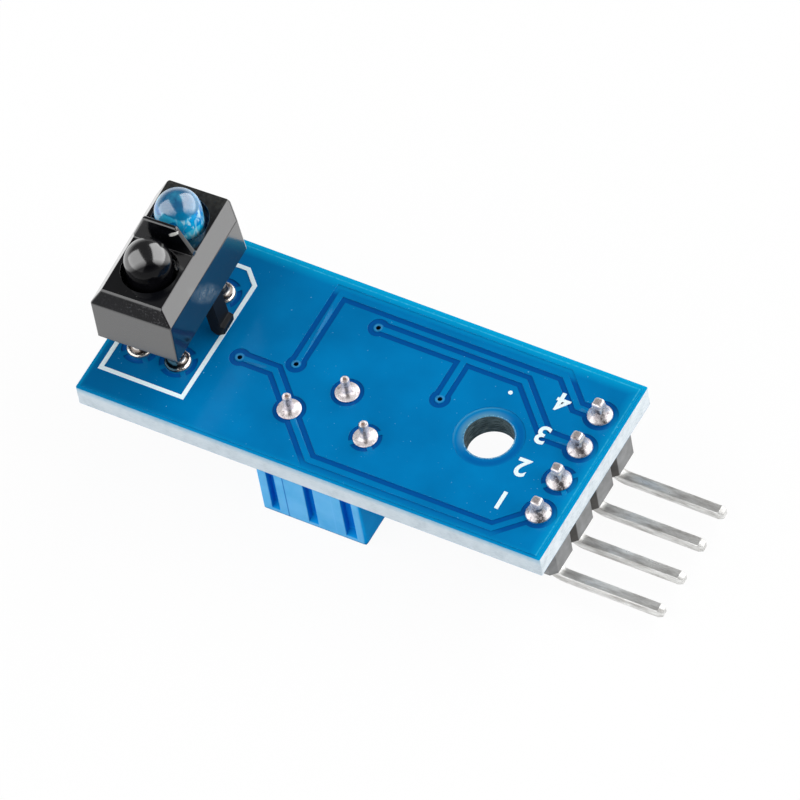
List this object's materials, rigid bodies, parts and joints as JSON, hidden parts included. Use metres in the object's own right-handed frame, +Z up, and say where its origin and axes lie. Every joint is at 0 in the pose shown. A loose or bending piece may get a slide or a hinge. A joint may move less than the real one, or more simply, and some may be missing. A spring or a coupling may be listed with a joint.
{
  "type": "infrared reflective sensor module",
  "caption": "Small blue circuit board with an upright infrared emitter and detector, a sensitivity trimmer below and an angled pin header at one end.",
  "frame": {"origin": "middle of the fixing hole, on the sensor side of the board's core", "axes": "+X along the board towards the header pins, +Y across the board along the pin row, +Z up, the way the sensor looks"},
  "size_m": [0.037, 0.0135, 0.016],
  "materials": {
    "board": "semi-matt glass-fibre laminate",
    "lacquer": "blue lacquer over copper",
    "print": "white printed ink",
    "sensor_black": "glossy moulded plastic",
    "emitter_blue": "clear blue cast resin",
    "detector_black": "dark cast resin",
    "tin": "tinned metal",
    "solder": "bright solder",
    "header_black": "black moulded plastic",
    "pin_metal": "tinned metal",
    "trimmer_blue": "blue moulded plastic",
    "trimmer_base": "dark blue moulded plastic",
    "ceramic": "pale ceramic",
    "adjuster_white": "off-white moulded plastic",
    "wiper": "spring metal",
    "seal": "black rubber",
    "chip_black": "black moulded epoxy",
    "resistor": "black film on pale ceramic",
    "capacitor": "brown ceramic",
    "lamp_base": "white laminate",
    "power_lamp": "clear red resin",
    "output_lamp": "clear green resin"
  },
  "bodies": {
    "module": {"circuit_board": "board", "sensor_side_copper": "lacquer", "component_side_copper": "lacquer", "sensor_side_print": "print", "component_side_print": "print", "sensor_housing": "sensor_black", "emitter": "emitter_blue", "detector": "detector_black", "sensor_lead_1": "tin", "sensor_lead_2": "tin", "sensor_lead_3": "tin", "sensor_lead_4": "tin", "sensor_solder_1": "solder", "sensor_solder_2": "solder", "sensor_solder_3": "solder", "sensor_solder_4": "solder", "header_block": "header_black", "header_pin_1": "pin_metal", "header_pin_2": "pin_metal", "header_pin_3": "pin_metal", "header_pin_4": "pin_metal", "header_solder_1": "solder", "header_solder_2": "solder", "header_solder_3": "solder", "header_solder_4": "solder", "trimmer_housing": "trimmer_blue", "trimmer_base": "trimmer_base", "trimmer_ceramic": "ceramic", "trimmer_pin_1": "tin", "trimmer_pin_2": "tin", "trimmer_pin_3": "tin", "trimmer_solder_1": "solder", "trimmer_solder_2": "solder", "trimmer_solder_3": "solder", "comparator": "chip_black", "comparator_lead_1": "tin", "comparator_lead_2": "tin", "comparator_lead_3": "tin", "comparator_lead_4": "tin", "comparator_lead_5": "tin", "comparator_lead_6": "tin", "comparator_lead_7": "tin", "comparator_lead_8": "tin", "resistor_1": "resistor", "resistor_2": "resistor", "resistor_3": "resistor", "resistor_4": "resistor", "resistor_5": "resistor", "capacitor_1": "capacitor", "capacitor_2": "capacitor", "power_lamp_base": "lamp_base", "power_lamp_lens": "power_lamp", "output_lamp_base": "lamp_base", "output_lamp_lens": "output_lamp"},
    "adjuster": {"trimmer_adjuster": "adjuster_white", "trimmer_wiper": "wiper", "trimmer_seal": "seal"}
  },
  "joints": [
    {"name": "adjuster_turn", "type": "hinge", "parent": "module", "child": "adjuster", "pos_m": [-0.00918, -0.00275, -0.005], "axis": [0, 0, 1], "range_deg": [-130, 130]}
  ]
}
